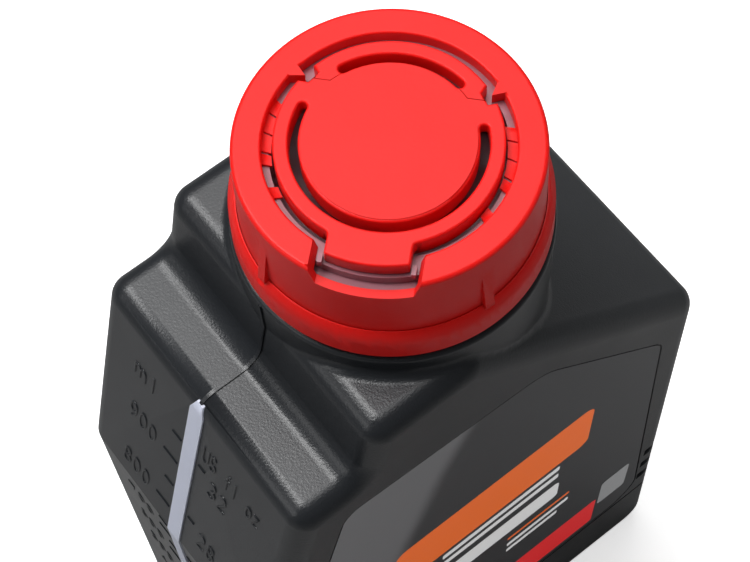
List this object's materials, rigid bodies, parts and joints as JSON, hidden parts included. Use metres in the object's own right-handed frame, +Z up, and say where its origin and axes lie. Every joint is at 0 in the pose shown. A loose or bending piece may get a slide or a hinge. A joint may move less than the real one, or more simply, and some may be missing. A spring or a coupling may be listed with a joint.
{
  "type": "motor oil bottle",
  "caption": "Dark plastic motor oil bottle with a stepped shoulder, level strip and labels, closed by a red screw cap with a tamper band and a fold-up centre lid.",
  "frame": {"origin": "on the surface that the bottle stands on, under the cap's axis", "axes": "+Z up along the cap's axis, +X along the bottle's width away from the level strip, front label facing -Y"},
  "size_m": [0.1145, 0.0582, 0.2267],
  "materials": {
    "body": "fine-grained satin blown plastic",
    "strip": "pale translucent satin plastic",
    "label": "printed film, satin",
    "closure": "fine-grained red moulded plastic",
    "inner": "translucent moulded plastic",
    "seal": "soft foamed liner"
  },
  "bodies": {
    "bottle": {"bottle_body": "body", "level_strip": "strip", "front_label": "label", "back_label": "label"},
    "tamper_ring": {"tamper_band": "closure"},
    "cap": {"cap_shell": "closure", "inner_cap": "inner", "lid_heel": "closure", "seal_liner": "seal"},
    "lid": {"centre_lid": "closure"}
  },
  "joints": [
    {"name": "cap_turn", "type": "hinge", "parent": "bottle", "child": "tamper_ring", "pos_m": [0, 0, 0.2], "axis": [0, 0, 1], "range_deg": [0, 720]},
    {"name": "cap_lift", "type": "slide", "parent": "tamper_ring", "child": "cap", "axis": [0, 0, 1], "range_m": [0, 0.008]},
    {"name": "lid_hinge", "type": "hinge", "parent": "cap", "child": "lid", "pos_m": [0.00667, 0.00611, 0.2265], "axis": [-0.6756, 0.7373, 0], "range_deg": [0, 100]}
  ],
  "couplings": [
    {"joint": "cap_lift", "follows": "cap_turn", "m_per_rad": 0.00063662}
  ]
}
